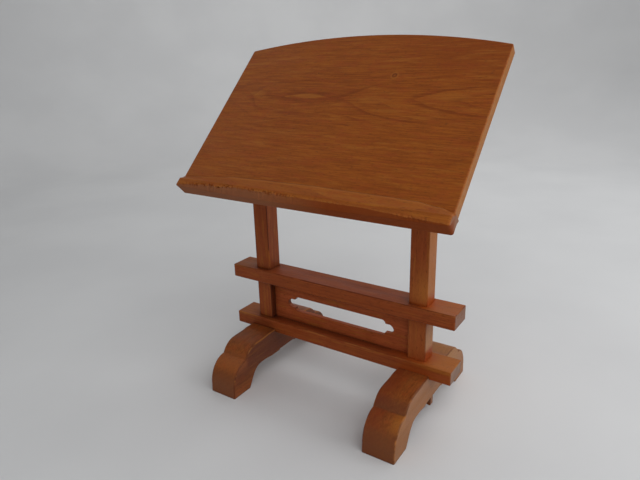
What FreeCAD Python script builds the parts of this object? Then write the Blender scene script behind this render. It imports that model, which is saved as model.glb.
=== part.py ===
import FreeCAD, Part
import math
import os

# A knock-down wooden reading stand. Millimetres, +Z up. The origin is on the floor, midway between the
# four toes. +X is the reader's right and -Y is the reader's side.

# --- driving dimensions ---------------------------------------------------------------------------

# desk board, which slopes up and away from the reader
BOARD_WIDTH = 370.0
BOARD_THICKNESS = 14.0
BOARD_SIDE_HEIGHT = 221.5       # up the slope, at either side
BOARD_CROWN = 22.5              # rise of the arched top edge over its corners
BOARD_CORNER_RADIUS = 2.5
BOARD_EASING = 1.5
DESK_TILT = 44.2                # degrees above the horizontal
DESK_HEIGHT = 376.8             # of the board's front surface over the middle of the posts
BOARD_BELOW_POSTS = 116.3       # along the slope, from over the posts to the ledge

# ledge under the board's lower edge, with its lip in front
LEDGE_OVERHANG = 1.0            # past each side of the board
LEDGE_DROP = 17.5
LIP_STAND = 6.2                 # in front of the board's surface
LIP_BEVEL = 6.0                 # fall of the lip's level top, down the slope
LEDGE_EASING = 1.2
LEDGE_HEEL_RADIUS = 2.0

# dowels between ledge and board
DOWEL_DIAMETER = 6.0
DOWEL_LENGTH = 24.0
DOWEL_COUNT = 5
DOWEL_FROM_SIDE = 35.0          # of the outermost dowels, in from the board's sides

# battens across the board's back
BATTEN_WIDTH = 34.0
BATTEN_DEPTH = 28.0
BATTEN_TIP_DEPTH = 12.0
BATTEN_LENGTH = 180.0
BATTEN_TAPER = 48.0
BATTEN_START = 22.0             # from the ledge, up the slope
BATTEN_EASING = 1.5

# wood screws through the battens into the board
SCREW_HEAD_DIAMETER = 8.0
SCREW_HEAD_HEIGHT = 2.6
SCREW_SHANK_DIAMETER = 4.0
SCREW_BITE = 9.0                # into the board
SCREW_WOOD = 8.0                # of batten left under each head
SCREW_SLOT_WIDTH = 1.0
SCREW_SLOT_DEPTH = 1.1
SCREW_FROM_TIP = (13.0, 36.0)

# posts
POST_WIDTH = 24.0
POST_DEPTH = 24.0
POST_EASING = 1.2
STANCE = 240.0                  # between the posts' middles, and between the feet's
HEAD_TENON_WIDTH = 14.0
HEAD_TENON_BEVEL = 2.0
FOOT_TENON_WIDTH = 9.0
FOOT_TENON_DEPTH = 17.0
FOOT_TENON_LENGTH = 48.5        # below the post's shoulders

# rails
UPPER_RAIL_LENGTH = 340.0
LOWER_RAIL_LENGTH = 337.0
RAIL_DEPTH = 36.5
UPPER_RAIL_HEIGHT = 19.0
LOWER_RAIL_HEIGHT = 18.0
RAIL_GAP = 57.0                 # between the two rails
RAIL_FORWARD = 1.0              # of the posts' middle plane
RAIL_EASING = 1.2

# pegs that hold the rails on the posts
PEG_DIAMETER = 4.0
PEG_BITE = 10.0                 # into the post

# pierced panel
PANEL_THICKNESS = 6.0
PANEL_TONGUE = 4.0              # of the panel let into posts and rails
SLOT_STRAIGHT = 132.0           # length of the slot's straight edges
SLOT_HEIGHT = 22.0
SLOT_TIP = 18.2                 # reach of each bracket end beyond the straight edges
SLOT_SHOULDER = 6.2             # width of the first, higher step of a bracket end
SLOT_LOBE_HEIGHT = 12.6         # height of the slot where the second step starts
SLOT_ABOVE_MIDDLE = -0.7        # of the gap between the rails

# feet
FOOT_WIDTH = 42.4
FOOT_LENGTH = 229.0
FOOT_HEIGHT = 63.4
FOOT_EASING = 1.6
TOE_DEPTH = 34.0                # along the floor
TOE_LEAN = 0.8                  # of the toe's front face
TOE_FACE_HEIGHT = 12.0
NICK_DEPTH = 28.5               # from the toe's front to the nick between the foot's two lobes
NICK_HEIGHT = 46.5
NICK_RADIUS = 1.5
CREST_DEPTH = 78.5              # from the toe's front to the foot's flat top
CREST_SHAPE = ((52.5, 1.6), (42.0, 3.9), (33.5, 9.9))   # depth from the toe's front, drop from the top
TOE_SHAPE = ((18.5, 44.0), (9.5, 37.0), (3.0, 25.5))    # depth from the toe's front, height
ARCH_HEIGHT = 26.5
ARCH_SHAPE = ((39.8, 16.5), (52.0, 2.5), (63.0, 0.0))   # depth from the toe's front, drop from the arch
ARCH_NICK_HALF = 27.5           # from the middle to each small nick in the arch
ARCH_NICK_DROP = 2.0
ARCH_NICK_RADIUS = 1.8
ARCH_FLAT_HALF = 24.0
RAIL_HOUSING = 4.4              # the lower rail is let this far into the feet

# wedges that lock the post tenons under the feet
WEDGE_THICKNESS = 8.0
WEDGE_THICK_END = 15.5
WEDGE_LENGTH = 28.5
WEDGE_TAPER = 6.0               # run for each unit of rise
WEDGE_OUT = 18.8                # from the post's middle to the wedge's thick end
WEDGE_EASING = 1.2
WEDGE_DRAW_ROOM = 1.5           # of mortise above the wedge, hidden in the foot

# clearances
GLUE_FIT = 0.05                 # around tenons, tongues, pegs and dowels, per side
LIFT_FIT = 0.3                  # around the head tenons, which the desk lifts off, per side
TENON_END_GAP = 1.0
WEDGE_FIT = 0.2                 # beside the wedge, per side

# drawing aids, which leave no size on the part
OVERLAP = 1.0                   # of a cutting shape past the face it opens
TOOL_SIZE = 1000.0              # of a cutting shape that has to pass right through
NEAR = 0.01                     # two coordinates this close are the same
PARALLEL = 0.999                # cosine above which two ways are the same

# --- derived values -------------------------------------------------------------------------------

TILT = math.radians(DESK_TILT)
SIDES = (("left", -1.0), ("right", 1.0))
POST_X = STANCE / 2.0
LEDGE_LENGTH = BOARD_WIDTH + 2.0 * LEDGE_OVERHANG
LOWER_RAIL_Z = FOOT_HEIGHT - RAIL_HOUSING
LOWER_RAIL_TOP = LOWER_RAIL_Z + LOWER_RAIL_HEIGHT
UPPER_RAIL_Z = LOWER_RAIL_TOP + RAIL_GAP
UPPER_RAIL_TOP = UPPER_RAIL_Z + UPPER_RAIL_HEIGHT
BATTEN_END = BATTEN_START + BATTEN_LENGTH
HALF_FOOT = FOOT_LENGTH / 2.0
WAY_X = FreeCAD.Vector(1, 0, 0)
WAY_Y = FreeCAD.Vector(0, 1, 0)
WAY_Z = FreeCAD.Vector(0, 0, 1)


def vec(x, y, z):
    return FreeCAD.Vector(x, y, z)


def block(x_span, y_span, z_span):
    """A box between pairs of coordinates."""
    size = [span[1] - span[0] for span in (x_span, y_span, z_span)]
    return Part.makeBox(size[0], size[1], size[2], vec(x_span[0], y_span[0], z_span[0]))


def around(middle, width):
    """The two ends of a width about a middle."""
    return (middle - width / 2.0, middle + width / 2.0)


def grown(span, by):
    """A pair of coordinates with both ends moved outwards."""
    return (span[0] - by, span[1] + by)


def line(start, end):
    return Part.LineSegment(start, end).toShape()


def arc(start, middle, end):
    return Part.Arc(start, middle, end).toShape()


def curve(points, start_way=None, end_way=None):
    """A smooth curve through some points, which may leave or arrive along a given way."""
    spline = Part.BSplineCurve()
    ways = {}
    if start_way is not None:
        ways["InitialTangent"] = start_way
    if end_way is not None:
        ways["FinalTangent"] = end_way
    spline.interpolate(Points=points, **ways)
    return spline.toShape()


def prism(edges, way):
    """A solid swept from a closed outline along a straight way."""
    return Part.Face(Part.Wire(Part.__sortEdges__(edges))).extrude(way)


def polygon(points):
    """The closed outline through some points."""
    ends = points[1:] + points[:1]
    return [line(start, end) for start, end in zip(points, ends)]


def eased(solid, radius, wanted):
    """The solid with a radius on each edge that the test picks."""
    return solid.makeFillet(radius, [edge for edge in solid.Edges if wanted(edge)])


def runs_along(edge, way):
    """Whether an edge is straight and lies along a way."""
    if not isinstance(edge.Curve, (Part.Line, Part.LineSegment)):
        return False
    run = edge.Vertexes[-1].Point.sub(edge.Vertexes[0].Point)
    return abs(run.dot(way)) > PARALLEL * run.Length


def in_plane(edge, axis, value):
    """Whether a whole edge lies where one coordinate has one value."""
    box = edge.BoundBox
    low = getattr(box, axis + "Min")
    high = getattr(box, axis + "Max")
    return abs(low - value) < NEAR and abs(high - value) < NEAR


def save(name, shapes):
    """Writes one node, as one solid or as a group of separate solids."""
    shape = shapes[0] if len(shapes) == 1 else Part.makeCompound(shapes)
    shape.exportStep(os.path.join("parts", name + ".step"))


# --- desk -----------------------------------------------------------------------------------------
# Desk pieces are drawn flat: X across, Y up the slope from the ledge joint, Z out of the board's
# front surface. on_desk tilts them into place.

DESK_FOOT_Y = -BOARD_BELOW_POSTS * math.cos(TILT)
DESK_FOOT_Z = DESK_HEIGHT - BOARD_BELOW_POSTS * math.sin(TILT)


def on_desk(shape):
    """Tilts a piece that was drawn flat and carries it to its place on the stand."""
    placed = shape.copy()
    placed.rotate(vec(0, 0, 0), WAY_X, DESK_TILT)
    placed.translate(vec(0, DESK_FOOT_Y, DESK_FOOT_Z))
    return placed


def behind_plane(depth):
    """A large block, drawn flat, that fills all the room more than some depth behind the board's front."""
    half = TOOL_SIZE / 2.0
    return block((-half, half), (-half, half), (-depth - TOOL_SIZE, -depth))


def height_under_board(depth, y):
    """The height, over one y, of a plane that lies some depth behind the board's front surface."""
    return DESK_HEIGHT + y * math.tan(TILT) - depth / math.cos(TILT)


def dowel_places():
    """The x of each ledge dowel."""
    first = DOWEL_FROM_SIDE - BOARD_WIDTH / 2.0
    pitch = -2.0 * first / (DOWEL_COUNT - 1)
    return [first + pitch * number for number in range(DOWEL_COUNT)]


def dowel_rods(radius, end_gap):
    """Rods for the dowels, or for their holes, across the ledge joint."""
    start = -DOWEL_LENGTH / 2.0 - end_gap
    length = DOWEL_LENGTH + 2.0 * end_gap
    middle = -BOARD_THICKNESS / 2.0
    return [Part.makeCylinder(radius, length, vec(x, start, middle), WAY_Y) for x in dowel_places()]


def dowel_holes():
    return dowel_rods(DOWEL_DIAMETER / 2.0 + GLUE_FIT, TENON_END_GAP)


def screw_places():
    """The x and the run up the slope of each batten screw."""
    runs = [BATTEN_START + step for step in SCREW_FROM_TIP] + [BATTEN_END - step for step in SCREW_FROM_TIP]
    return [(side * POST_X, run) for _, side in SIDES for run in runs]


def desk_board():
    """The plank, with its arched top edge."""
    half = BOARD_WIDTH / 2.0
    left = vec(-half, BOARD_SIDE_HEIGHT, 0)
    right = vec(half, BOARD_SIDE_HEIGHT, 0)
    crown = vec(0, BOARD_SIDE_HEIGHT + BOARD_CROWN, 0)
    edges = [line(vec(-half, 0, 0), vec(half, 0, 0)), line(vec(half, 0, 0), right),
             arc(right, crown, left), line(left, vec(-half, 0, 0))]
    board = prism(edges, vec(0, 0, -BOARD_THICKNESS))
    board = eased(board, BOARD_CORNER_RADIUS,
                  lambda edge: runs_along(edge, WAY_Z) and edge.BoundBox.YMin > BOARD_SIDE_HEIGHT / 2.0)
    board = eased(board, BOARD_EASING,
                  lambda edge: edge.BoundBox.YMax > OVERLAP and not runs_along(edge, WAY_Z))
    return board.cut(dowel_holes() + screw_holes())


def ledge():
    """The strip glued and dowelled to the board's lower edge."""
    half = LEDGE_LENGTH / 2.0
    section = [(0, 0), (-LIP_BEVEL, LIP_STAND), (-LEDGE_DROP, LIP_STAND),
               (-LEDGE_DROP, -BOARD_THICKNESS), (0, -BOARD_THICKNESS)]
    strip = prism(polygon([vec(-half, run, out) for run, out in section]), vec(LEDGE_LENGTH, 0, 0))
    strip = eased(strip, LEDGE_HEEL_RADIUS,
                  lambda edge: in_plane(edge, "Z", -BOARD_THICKNESS) and in_plane(edge, "Y", -LEDGE_DROP))
    strip = eased(strip, LEDGE_EASING,
                  lambda edge: in_plane(edge, "Z", LIP_STAND) and runs_along(edge, WAY_X))
    strip = eased(strip, LEDGE_EASING,
                  lambda edge: (in_plane(edge, "X", half) or in_plane(edge, "X", -half))
                  and not in_plane(edge, "Y", 0))
    return strip.cut(dowel_holes())


def batten_profile():
    """The batten's long section: deep in the middle, swept down to thin tips."""
    back = -BOARD_THICKNESS
    deep = back - BATTEN_DEPTH
    tip = back - BATTEN_TIP_DEPTH
    # each sweep is an arc that leaves the deep part tangentially
    rise = BATTEN_DEPTH - BATTEN_TIP_DEPTH
    radius = (BATTEN_TAPER ** 2 + rise ** 2) / (2.0 * rise)
    turn = math.asin(BATTEN_TAPER / radius) / 2.0
    run = radius * math.sin(turn)
    lift = radius * (1.0 - math.cos(turn))
    low = BATTEN_START + BATTEN_TAPER
    high = BATTEN_END - BATTEN_TAPER
    return [line(vec(0, BATTEN_START, back), vec(0, BATTEN_END, back)),
            line(vec(0, BATTEN_END, back), vec(0, BATTEN_END, tip)),
            arc(vec(0, BATTEN_END, tip), vec(0, high + run, deep + lift), vec(0, high, deep)),
            line(vec(0, high, deep), vec(0, low, deep)),
            arc(vec(0, low, deep), vec(0, low - run, deep + lift), vec(0, BATTEN_START, tip)),
            line(vec(0, BATTEN_START, tip), vec(0, BATTEN_START, back))]


def head_socket(side):
    """The upright mortise in a batten, open below, that drops over a post's head tenon."""
    x_span = grown(around(side * POST_X, HEAD_TENON_WIDTH), LIFT_FIT)
    y_span = grown(around(0, POST_DEPTH), LIFT_FIT)
    shaft = block(x_span, y_span, (UPPER_RAIL_TOP, DESK_HEIGHT + TOOL_SIZE))
    return shaft.common(on_desk(behind_plane(BOARD_THICKNESS)))


def desk_batten(side):
    """One batten, in place, with its socket for a post."""
    bar = prism(batten_profile(), vec(BATTEN_WIDTH, 0, 0))
    bar.translate(vec(side * POST_X - BATTEN_WIDTH / 2.0, 0, 0))
    bar = eased(bar, BATTEN_EASING, lambda edge: edge.BoundBox.ZMax < -BOARD_THICKNESS - OVERLAP)
    return on_desk(bar.cut(screw_holes())).cut(head_socket(side))


def screw_head_depth():
    """How far a screw head's outer face lies behind the board's back."""
    return SCREW_WOOD + SCREW_HEAD_HEIGHT


def screw(x, run, gap):
    """One countersunk screw, or its hole where a gap is given, drawn flat."""
    shank = SCREW_SHANK_DIAMETER / 2.0
    head = SCREW_HEAD_DIAMETER / 2.0
    face = -BOARD_THICKNESS - screw_head_depth()
    body = Part.makeCylinder(shank + gap, screw_head_depth() + SCREW_BITE, vec(x, run, face), WAY_Z)
    cone = Part.makeCone(head + gap, shank + gap, SCREW_HEAD_HEIGHT, vec(x, run, face), WAY_Z)
    return body.fuse(cone)


def screw_holes():
    """Holes with counterbores that open at the batten's underside."""
    holes = []
    radius = SCREW_HEAD_DIAMETER / 2.0 + GLUE_FIT
    start = -BOARD_THICKNESS - screw_head_depth() - BATTEN_DEPTH
    for x, run in screw_places():
        bore = Part.makeCylinder(radius, BATTEN_DEPTH, vec(x, run, start), WAY_Z)
        holes.append(screw(x, run, GLUE_FIT).fuse(bore))
    return holes


def batten_screws():
    """All the batten screws, each with its driver slot."""
    screws = []
    face = -BOARD_THICKNESS - screw_head_depth()
    for x, run in screw_places():
        slot = block(around(x, SCREW_HEAD_DIAMETER * 2.0), around(run, SCREW_SLOT_WIDTH),
                     (face - SCREW_SLOT_DEPTH, face + SCREW_SLOT_DEPTH))
        screws.append(on_desk(screw(x, run, 0).cut(slot)))
    return screws


# --- frame ----------------------------------------------------------------------------------------

def head_top():
    """The height of the head tenons' flat tops, which stay clear of the board's back."""
    return height_under_board(BOARD_THICKNESS, -POST_DEPTH / 2.0) - TENON_END_GAP


def head_tenon(side):
    """The tongue on a post's head, up inside its batten."""
    x_span = around(side * POST_X, HEAD_TENON_WIDTH)
    tenon = block(x_span, around(0, POST_DEPTH), (UPPER_RAIL_TOP, head_top()))
    rim = [edge for edge in tenon.Edges if in_plane(edge, "Z", head_top())]
    return tenon.makeChamfer(HEAD_TENON_BEVEL, rim)


def wedge_gap(side):
    """The tapered mortise through a foot tenon, with room above for the wedge to draw."""
    shape = wedge_blank(side, 2.0 * WEDGE_FIT)
    above = block(around(side * POST_X, FOOT_WIDTH), around(0, WEDGE_THICKNESS + 2.0 * WEDGE_FIT),
                  (ARCH_HEIGHT - OVERLAP, ARCH_HEIGHT + WEDGE_DRAW_ROOM))
    return shape.fuse(above)


def post(side):
    """One post: foot tenon, long square shaft, and head tenon."""
    x_span = around(side * POST_X, POST_WIDTH)
    top = height_under_board(BOARD_THICKNESS + BATTEN_DEPTH, POST_DEPTH)
    shaft = block(x_span, around(0, POST_DEPTH), (LOWER_RAIL_Z, top))
    shaft = eased(shaft, POST_EASING, lambda edge: runs_along(edge, WAY_Z))
    shaft = shaft.common(on_desk(behind_plane(BOARD_THICKNESS + BATTEN_DEPTH)))
    tenon = block(around(side * POST_X, FOOT_TENON_WIDTH), around(0, FOOT_TENON_DEPTH),
                  (LOWER_RAIL_Z - FOOT_TENON_LENGTH, LOWER_RAIL_TOP))
    shape = shaft.fuse([head_tenon(side), tenon]).removeSplitter()
    return shape.cut([wedge_gap(side), panel_blank(GLUE_FIT)] + peg_rods(GLUE_FIT))


def rail(length, height, bottom):
    """One rail, with its two mortises for the posts and its groove for the panel."""
    y_span = around(-RAIL_FORWARD, RAIL_DEPTH)
    bar = block(around(0, length), y_span, (bottom, bottom + height))
    bar = eased(bar, RAIL_EASING, lambda edge: True)
    y_post = grown(around(0, POST_DEPTH), GLUE_FIT)
    z_span = grown((bottom, bottom + height), OVERLAP)
    mortises = [block(grown(around(side * POST_X, POST_WIDTH), GLUE_FIT), y_post, z_span)
                for _, side in SIDES]
    return bar.cut(mortises + [panel_blank(GLUE_FIT)] + peg_rods(GLUE_FIT))


def peg_rods(gap):
    """Rods for the rail pegs, or for their holes, from the rails' rear faces into the posts."""
    rear = RAIL_DEPTH / 2.0 - RAIL_FORWARD
    start = POST_DEPTH / 2.0 - PEG_BITE
    middles = (LOWER_RAIL_Z + LOWER_RAIL_HEIGHT / 2.0, UPPER_RAIL_Z + UPPER_RAIL_HEIGHT / 2.0)
    radius = PEG_DIAMETER / 2.0 + gap
    return [Part.makeCylinder(radius, rear - start + gap, vec(side * POST_X, start - gap, z), WAY_Y)
            for _, side in SIDES for z in middles]


def panel_blank(gap):
    """The panel's outer shape, with its tongues, or the grooves for it where a gap is given."""
    reach = POST_X - POST_WIDTH / 2.0 + PANEL_TONGUE
    z_span = (LOWER_RAIL_TOP - PANEL_TONGUE, UPPER_RAIL_Z + PANEL_TONGUE)
    return block(grown((-reach, reach), gap), around(0, PANEL_THICKNESS + 2.0 * gap), grown(z_span, gap))


def slot_middle():
    """The height of the slot's middle."""
    return (LOWER_RAIL_TOP + UPPER_RAIL_Z) / 2.0 + SLOT_ABOVE_MIDDLE


def slot_end(side, level):
    """The outline of one quarter of the slot: a convex shoulder, a step and a lobe to the tip."""
    start = SLOT_STRAIGHT / 2.0
    high = SLOT_HEIGHT / 2.0
    lobe = SLOT_LOBE_HEIGHT / 2.0
    bend = math.sqrt(0.5)

    def place(x, z):
        return vec(side * x, PANEL_THICKNESS, slot_middle() + level * z)

    step = start + SLOT_SHOULDER
    tip = start + SLOT_TIP
    shoulder = arc(place(start, high), place(start + SLOT_SHOULDER * bend, lobe + (high - lobe) * bend),
                   place(step, lobe))
    shelf_end = step + (tip - step) / 3.0
    shelf = line(place(step, lobe), place(shelf_end, lobe))
    lobe_arc = arc(place(shelf_end, lobe), place(shelf_end + (tip - shelf_end) * bend, lobe * bend),
                   place(tip, 0))
    return [shoulder, shelf, lobe_arc]


def pierced_panel():
    """The thin panel, with its long bracket-ended slot."""
    edges = []
    for _, side in SIDES:
        for level in (-1.0, 1.0):
            edges = edges + slot_end(side, level)
    for level in (-1.0, 1.0):
        z = slot_middle() + level * SLOT_HEIGHT / 2.0
        half = SLOT_STRAIGHT / 2.0
        edges.append(line(vec(-half, PANEL_THICKNESS, z), vec(half, PANEL_THICKNESS, z)))
    slot = prism(edges, vec(0, -2.0 * PANEL_THICKNESS, 0))
    return panel_blank(0).cut(slot)


# --- feet -----------------------------------------------------------------------------------------

def toe_outline(end):
    """Half of a foot's side outline, from the crest down over the toe and back under the arch."""

    def place(depth, z):
        return vec(0, end * (HALF_FOOT - depth), z)

    nick = place(NICK_DEPTH, NICK_HEIGHT)
    crest = place(CREST_DEPTH, FOOT_HEIGHT)
    face = place(TOE_LEAN, TOE_FACE_HEIGHT)
    toe = place(0, 0)
    heel = place(TOE_DEPTH, 0)
    arch_nick = place(HALF_FOOT - ARCH_NICK_HALF, ARCH_HEIGHT - ARCH_NICK_DROP)
    arch_flat = place(HALF_FOOT - ARCH_FLAT_HALF, ARCH_HEIGHT)
    over = [place(depth, FOOT_HEIGHT - drop) for depth, drop in CREST_SHAPE]
    round_toe = [place(depth, height) for depth, height in TOE_SHAPE]
    under = [place(depth, ARCH_HEIGHT - drop) for depth, drop in ARCH_SHAPE]
    return [line(place(HALF_FOOT, FOOT_HEIGHT), crest),
            curve([crest] + over + [nick], start_way=vec(0, end, 0)),
            curve([nick] + round_toe + [face], end_way=toe.sub(face)),
            line(face, toe),
            line(toe, heel),
            curve([heel] + under + [arch_nick]),
            line(arch_nick, arch_flat),
            line(arch_flat, place(HALF_FOOT, ARCH_HEIGHT))]


def crosses_at(edge, half_run, height):
    """Whether an edge crosses the foot at one distance from its middle and one height."""
    middle = edge.BoundBox.Center
    near = abs(abs(middle.y) - half_run) < NEAR and abs(middle.z - height) < NEAR
    return near and runs_along(edge, WAY_X)


def foot(side):
    """One arched foot, with the rail's housing across its top and the post's mortise."""
    body = prism(toe_outline(-1.0) + toe_outline(1.0), vec(FOOT_WIDTH, 0, 0)).removeSplitter()
    body = eased(body, NICK_RADIUS, lambda edge: crosses_at(edge, HALF_FOOT - NICK_DEPTH, NICK_HEIGHT))
    body = eased(body, ARCH_NICK_RADIUS,
                 lambda edge: crosses_at(edge, ARCH_NICK_HALF, ARCH_HEIGHT - ARCH_NICK_DROP))
    body = eased(body, FOOT_EASING,
                 lambda edge: (in_plane(edge, "X", 0) or in_plane(edge, "X", FOOT_WIDTH))
                 and edge.BoundBox.ZMax > NEAR)
    body.translate(vec(side * POST_X - FOOT_WIDTH / 2.0, 0, 0))
    housing = block(around(0, LOWER_RAIL_LENGTH), grown(around(-RAIL_FORWARD, RAIL_DEPTH), GLUE_FIT),
                    (LOWER_RAIL_Z, FOOT_HEIGHT + OVERLAP))
    mortise = block(grown(around(side * POST_X, FOOT_TENON_WIDTH), GLUE_FIT),
                    grown(around(0, FOOT_TENON_DEPTH), GLUE_FIT), (0, FOOT_HEIGHT))
    return body.cut([housing, mortise])


def wedge_blank(side, room):
    """A wedge against the arch's ceiling, thick end outwards, or its gap where there is room beside it."""
    thick = side * (POST_X + WEDGE_OUT)
    thin = side * (POST_X + WEDGE_OUT - WEDGE_LENGTH)
    thin_end = WEDGE_THICK_END - WEDGE_LENGTH / WEDGE_TAPER
    points = [vec(thick, 0, ARCH_HEIGHT), vec(thin, 0, ARCH_HEIGHT), vec(thin, 0, ARCH_HEIGHT - thin_end),
              vec(thick, 0, ARCH_HEIGHT - WEDGE_THICK_END)]
    blank = prism(polygon(points), vec(0, WEDGE_THICKNESS + room, 0))
    blank.translate(vec(0, -(WEDGE_THICKNESS + room) / 2.0, 0))
    return blank


def tenon_wedge(side):
    """One wedge, with its thick end eased."""
    thick = side * (POST_X + WEDGE_OUT)
    return eased(wedge_blank(side, 0), WEDGE_EASING, lambda edge: in_plane(edge, "X", thick))


def main():
    os.makedirs("parts", exist_ok=True)
    save("desk_board", [on_desk(desk_board())])
    save("book_ledge", [on_desk(ledge())])
    save("ledge_dowels", [on_desk(rod) for rod in dowel_rods(DOWEL_DIAMETER / 2.0, 0)])
    save("batten_screws", batten_screws())
    save("upper_rail", [rail(UPPER_RAIL_LENGTH, UPPER_RAIL_HEIGHT, UPPER_RAIL_Z)])
    save("lower_rail", [rail(LOWER_RAIL_LENGTH, LOWER_RAIL_HEIGHT, LOWER_RAIL_Z)])
    save("rail_pegs", peg_rods(0))
    save("pierced_panel", [pierced_panel()])
    for name, side in SIDES:
        save("desk_batten_" + name, [desk_batten(side)])
        save("post_" + name, [post(side)])
        save("foot_" + name, [foot(side)])
        save("tenon_wedge_" + name, [tenon_wedge(side)])


main()
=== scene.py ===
"""The looks of a knock-down wooden reading stand, dressed round its packed construction model.

Sizes are in metres, in the construction model's own frame: +X to the reader's right, +Y away from the reader,
+Z up, with the origin on the floor midway between the four toes.
"""

import logging
import math
from collections.abc import Iterable
from dataclasses import dataclass, field, replace
from enum import Enum

import bpy
from mathutils import Matrix, Vector, noise


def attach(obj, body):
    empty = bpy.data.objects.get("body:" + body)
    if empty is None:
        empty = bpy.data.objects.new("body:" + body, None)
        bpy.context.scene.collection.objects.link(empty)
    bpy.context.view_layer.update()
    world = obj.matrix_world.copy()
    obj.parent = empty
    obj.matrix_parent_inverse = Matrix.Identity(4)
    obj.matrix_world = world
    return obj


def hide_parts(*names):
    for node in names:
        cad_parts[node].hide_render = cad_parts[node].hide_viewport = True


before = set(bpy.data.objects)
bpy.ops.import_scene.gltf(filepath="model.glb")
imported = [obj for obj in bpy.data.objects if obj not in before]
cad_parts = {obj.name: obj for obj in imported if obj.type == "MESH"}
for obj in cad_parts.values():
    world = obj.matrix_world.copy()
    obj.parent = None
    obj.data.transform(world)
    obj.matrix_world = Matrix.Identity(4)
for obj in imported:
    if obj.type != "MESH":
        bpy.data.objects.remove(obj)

LOG = logging.getLogger("reading_stand")

Socket = bpy.types.NodeSocket
Colour = tuple[float, float, float]
Point3 = tuple[float, float, float]
Point2 = tuple[float, float]
Span = tuple[float, float]
Face = tuple[int, ...]
Inputs = dict[int | str, object]
Coat = tuple[Socket, Colour]

DESK_TILT = math.radians(44.2)
# the height of the desk's face over the posts, and how far down its slope from there the ledge joins it
DESK_HEIGHT = 0.3768
BOARD_BELOW_POSTS = 0.1163
LEDGE_JOINT_Y = -BOARD_BELOW_POSTS * math.cos(DESK_TILT)
LEDGE_JOINT_Z = DESK_HEIGHT - BOARD_BELOW_POSTS * math.sin(DESK_TILT)
# a point this near to a joint lies on it
TOUCHING = 1e-6

# spans of place that the whole stand lies past, and that none of it reaches
EVERYWHERE: Span = (-1.0, -0.9)
NOWHERE: Span = (1.0, 1.1)


def share_between(value: float, low: float, high: float) -> float:
    """How far a value has come from low to high, from 0 to 1."""
    return min(max((value - low) / (high - low), 0.0), 1.0)


def put_in_scene(name: str, data: bpy.types.ID) -> bpy.types.Object:
    """Makes an object of a mesh, a light or a camera and puts it in the scene.

    Args:
        name: The object's name.
        data: The mesh, light or camera.

    Returns:
        The new object.
    """
    made = bpy.data.objects.new(name, data)
    bpy.context.scene.collection.objects.link(made)
    return made


def ring_faces(rings: int, around: int, first: int = 0) -> list[Face]:
    """The four-sided faces that join rings of points, each ring to the next.

    Args:
        rings: How many rings there are.
        around: How many points each ring has.
        first: The number of the first ring's first point.

    Returns:
        The faces, as numbers of points.
    """
    faces = []
    for low in range(first, first + (rings - 1) * around, around):
        for number in range(around):
            after = (number + 1) % around
            faces.append((low + number, low + after, low + around + after, low + around + number))
    return faces


class GrainWay(Enum):
    """How a piece's fibres lie, as the turn about X, Y and Z that lays them along X."""

    ALONG_X = (0.0, 0.0, 0.0)
    ALONG_Y = (0.0, 0.0, -math.pi / 2.0)
    ALONG_Z = (0.0, math.pi / 2.0, 0.0)
    ACROSS_DESK = (-DESK_TILT, 0.0, 0.0)
    UP_DESK = (-DESK_TILT, 0.0, -math.pi / 2.0)

    def is_on_desk(self) -> bool:
        """Whether the grain is laid out from the sloping desk's own origin."""
        return self in (GrainWay.ACROSS_DESK, GrainWay.UP_DESK)

    def axis(self) -> Vector:
        """The fibres' own direction, in the frame."""
        return self.turn().inverted() @ Vector((1.0, 0.0, 0.0))

    def turn(self) -> Matrix:
        """The turn that lays the fibres along X."""
        about_x, about_y, about_z = (Matrix.Rotation(turn, 3, way) for turn, way in zip(self.value, "XYZ"))
        return about_z @ about_y @ about_x


class Figure(Enum):
    """The pattern that the growth rings make on a piece's faces."""

    STRAIGHT = "straight"
    CATHEDRAL = "cathedral"


class Mark(Enum):
    """A kind of mark that a mesh carries, by the name of its attribute: rubbing, dulling, and grime with
    painted shade.
    """

    RUBBED = "rubbed"
    SOILED = "soiled"
    DULLED = "dulled"


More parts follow.
